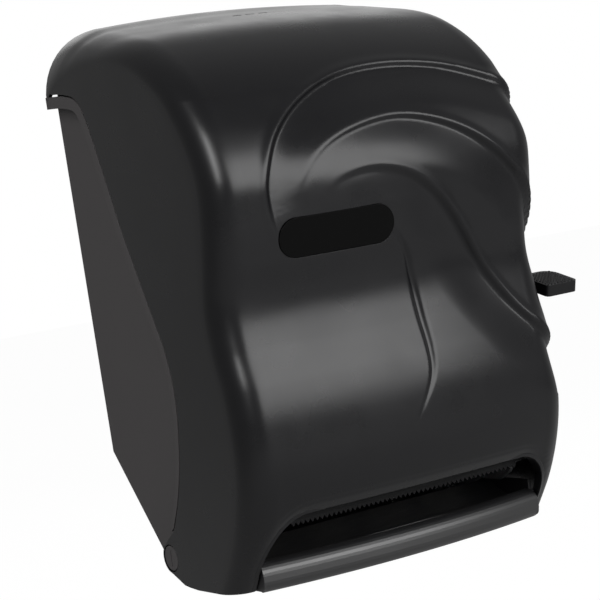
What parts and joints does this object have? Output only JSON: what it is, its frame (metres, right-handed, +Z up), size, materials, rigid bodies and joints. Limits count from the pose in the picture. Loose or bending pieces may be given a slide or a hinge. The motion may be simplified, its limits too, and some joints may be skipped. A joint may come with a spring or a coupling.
{
  "type": "lever paper towel dispenser",
  "caption": "Wall dispenser for roll paper towels: a wave-shaped cover hinged at the bottom, a feed roller behind the paper slot and a press lever at the side",
  "frame": {"origin": "centre of the four wall screws, on the wall plane", "axes": "+X to the right of someone facing the dispenser, +Y into the wall, +Z up"},
  "size_m": [0.329, 0.2342, 0.4209],
  "materials": {
    "cover_plastic": "smooth dark grey moulding",
    "badge_plastic": "bare satin",
    "housing_plastic": "fine texture, dark warm grey",
    "bar_plastic": "smooth black",
    "lever_plastic": "black with a raised grip",
    "white_plastic": "natural acetal",
    "grey_plastic": "plain grey",
    "yellow_plastic": "plain yellow",
    "frame_steel": "plated sheet",
    "steel": "bright",
    "rubber": "matt black"
  },
  "bodies": {
    "housing": {"back_housing": "housing_plastic", "hinge_pins": "housing_plastic", "latch_guide_posts": "steel", "latch_spring": "steel", "paper_chute": "bar_plastic", "left_frame": "frame_steel", "right_frame": "frame_steel", "frame_tie_plate": "frame_steel", "frame_screws": "steel", "tear_bar": "steel", "tear_bar_screws": "steel", "drive_bearings": "white_plastic", "pinch_pivot_rod": "steel", "pinch_springs": "steel", "lever_stud": "steel", "stud_screw": "steel", "lever_bumper": "rubber", "lever_spring": "steel", "spring_post": "steel", "arm_pins": "steel", "stub_roll_cradle": "grey_plastic", "cradle_screws": "steel"},
    "cover": {"front_cover": "cover_plastic", "badge_plate": "badge_plastic", "hinge_bushes": "grey_plastic", "lock_strike": "grey_plastic"},
    "latch": {"latch_slide": "yellow_plastic"},
    "lever": {"lever": "lever_plastic", "gear_sector": "white_plastic", "sector_screws": "steel"},
    "drive_roller": {"drive_shaft": "steel", "drive_core": "grey_plastic", "drive_sleeves": "rubber", "clutch_pinion": "white_plastic"},
    "pinch_yoke": {"pinch_frame": "grey_plastic"},
    "pinch_roller": {"pinch_shaft": "steel", "pinch_sleeves": "white_plastic"},
    "left_arm": {"left_roll_arm": "yellow_plastic"},
    "right_arm": {"right_roll_arm": "yellow_plastic"},
    "left_hub": {"left_roll_hub": "white_plastic"},
    "right_hub": {"right_roll_hub": "white_plastic"}
  },
  "joints": [
    {"name": "cover_hinge", "type": "hinge", "parent": "housing", "child": "cover", "pos_m": [0, -0.084, -0.193], "axis": [1, 0, 0], "range_deg": [0, 95]},
    {"name": "latch_slide", "type": "slide", "parent": "housing", "child": "latch", "axis": [0, 0, 1], "range_m": [0, 0.0026], "deforming": ["latch_spring"]},
    {"name": "lever_press", "type": "hinge", "parent": "housing", "child": "lever", "pos_m": [0, -0.09811, -0.12499], "axis": [1, 0, 0], "range_deg": [0, 40], "stiffness_Nm_per_rad": 0.3, "springref_deg": -68.75, "deforming": ["lever_spring"]},
    {"name": "drive_roller_spin", "type": "hinge", "parent": "housing", "child": "drive_roller", "pos_m": [0, -0.15, -0.152], "axis": [1, 0, 0], "range_deg": [-190, 0]},
    {"name": "pinch_yoke_swing", "type": "hinge", "parent": "housing", "child": "pinch_yoke", "pos_m": [0, -0.10128, -0.16251], "axis": [1, 0, 0], "range_deg": [0, 5], "stiffness_Nm_per_rad": 2, "springref_deg": -11.46, "deforming": ["pinch_springs"]},
    {"name": "pinch_roller_spin", "type": "hinge", "parent": "pinch_yoke", "child": "pinch_roller", "pos_m": [0, -0.12928, -0.16651], "axis": [1, 0, 0], "range_deg": [0, 330]},
    {"name": "left_arm_swing", "type": "hinge", "parent": "housing", "child": "left_arm", "pos_m": [-0.11, -0.012, 0.068], "axis": [0, 0, 1], "range_deg": [-8, 0]},
    {"name": "right_arm_swing", "type": "hinge", "parent": "housing", "child": "right_arm", "pos_m": [0.11, -0.012, 0.068], "axis": [0, 0, 1], "range_deg": [0, 8]},
    {"name": "left_hub_spin", "type": "hinge", "parent": "left_arm", "child": "left_hub", "pos_m": [-0.098, -0.108, 0.068], "axis": [1, 0, 0], "continuous": true},
    {"name": "right_hub_spin", "type": "hinge", "parent": "right_arm", "child": "right_hub", "pos_m": [0.098, -0.108, 0.068], "axis": [1, 0, 0], "continuous": true}
  ],
  "couplings": [
    {"joint": "drive_roller_spin", "follows": "lever_press", "ratio": -4.5714},
    {"joint": "pinch_roller_spin", "follows": "lever_press", "ratio": 8.127}
  ]
}
